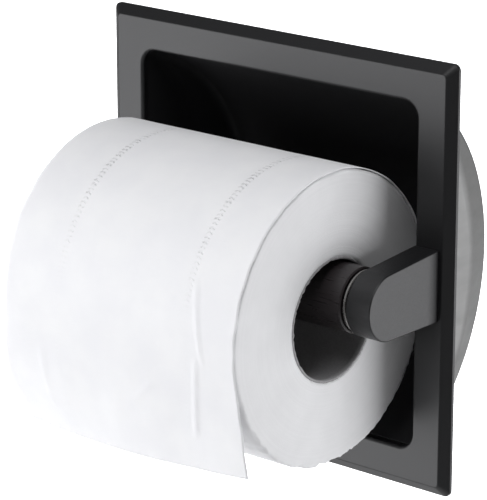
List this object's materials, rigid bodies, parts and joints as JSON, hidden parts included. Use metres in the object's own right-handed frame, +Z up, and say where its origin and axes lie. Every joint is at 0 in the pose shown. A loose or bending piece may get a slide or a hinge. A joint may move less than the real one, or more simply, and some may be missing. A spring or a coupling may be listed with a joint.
{
  "type": "toilet paper holder",
  "caption": "Recessed in-wall toilet paper holder: bevelled square face plate, drum-shaped pan, two arms, a sprung roller, a loaded paper roll and a rear clamp.",
  "frame": {"origin": "centre of the wall opening, in the plane of the finished wall", "axes": "+X to the right as the user faces it, +Y into the wall, +Z up"},
  "size_m": [0.16, 0.1684, 0.16],
  "materials": {
    "matte_black": "matte black powder coat",
    "arm_black": "matte black powder coat",
    "pan_metal": "bare drawn steel outside, black paint inside",
    "galvanised": "galvanised sheet",
    "zinc": "bright zinc plate",
    "black_screw": "black oxide",
    "roller_black": "semi-gloss black",
    "polished_ring": "polished",
    "seat_plastic": "natural nylon",
    "spring_steel": "spring steel wire",
    "core_board": "grey board",
    "paper": "white tissue",
    "paper_tail": "white tissue"
  },
  "bodies": {
    "holder": {"face_plate": "matte_black", "recess_pan": "pan_metal", "left_arm": "arm_black", "right_arm": "arm_black", "arm_screws": "zinc", "paper_tail": "paper_tail"},
    "clamp": {"rear_clamp": "galvanised", "clamp_nuts": "zinc"},
    "clamp_screw_left": {"left_clamp_screw": "black_screw"},
    "clamp_screw_right": {"right_clamp_screw": "black_screw"},
    "roller_outer": {"roller_outer_tube": "roller_black", "roller_right_cap": "roller_black", "right_end_ring": "polished_ring", "roller_spring": "spring_steel"},
    "roller_inner": {"roller_inner_tube": "roller_black", "roller_left_cap": "roller_black", "left_end_ring": "polished_ring", "spring_seat": "seat_plastic"},
    "roll": {"paper_core": "core_board", "paper_roll": "paper"}
  },
  "joints": [
    {"name": "paper_roll_spin", "type": "hinge", "parent": "holder", "child": "roll", "pos_m": [0, -0.0362, -0.00905], "axis": [1, 0, 0], "continuous": true},
    {"name": "roller_spin", "type": "hinge", "parent": "holder", "child": "roller_outer", "pos_m": [0, -0.0314, -0.00135], "axis": [1, 0, 0], "continuous": true},
    {"name": "roller_compress", "type": "slide", "parent": "roller_outer", "child": "roller_inner", "axis": [1, 0, 0], "range_m": [0, 0.008], "stiffness_N_per_m": 300, "springref_m": -0.012, "deforming": ["roller_spring"]},
    {"name": "clamp_travel", "type": "slide", "parent": "holder", "child": "clamp", "axis": [0, 1, 0], "range_m": [-0.0032, 0.0063]},
    {"name": "clamp_screw_left_turn", "type": "hinge", "parent": "holder", "child": "clamp_screw_left", "pos_m": [-0.02, 0.06, 0], "axis": [0, 1, 0], "range_deg": [-2836, 1441]},
    {"name": "clamp_screw_right_turn", "type": "hinge", "parent": "holder", "child": "clamp_screw_right", "pos_m": [0.02, 0.06, 0], "axis": [0, 1, 0], "range_deg": [-2836, 1441]}
  ],
  "couplings": [
    {"joint": "clamp_screw_left_turn", "follows": "clamp_travel", "rad_per_m": -7854},
    {"joint": "clamp_screw_right_turn", "follows": "clamp_travel", "rad_per_m": -7854}
  ]
}
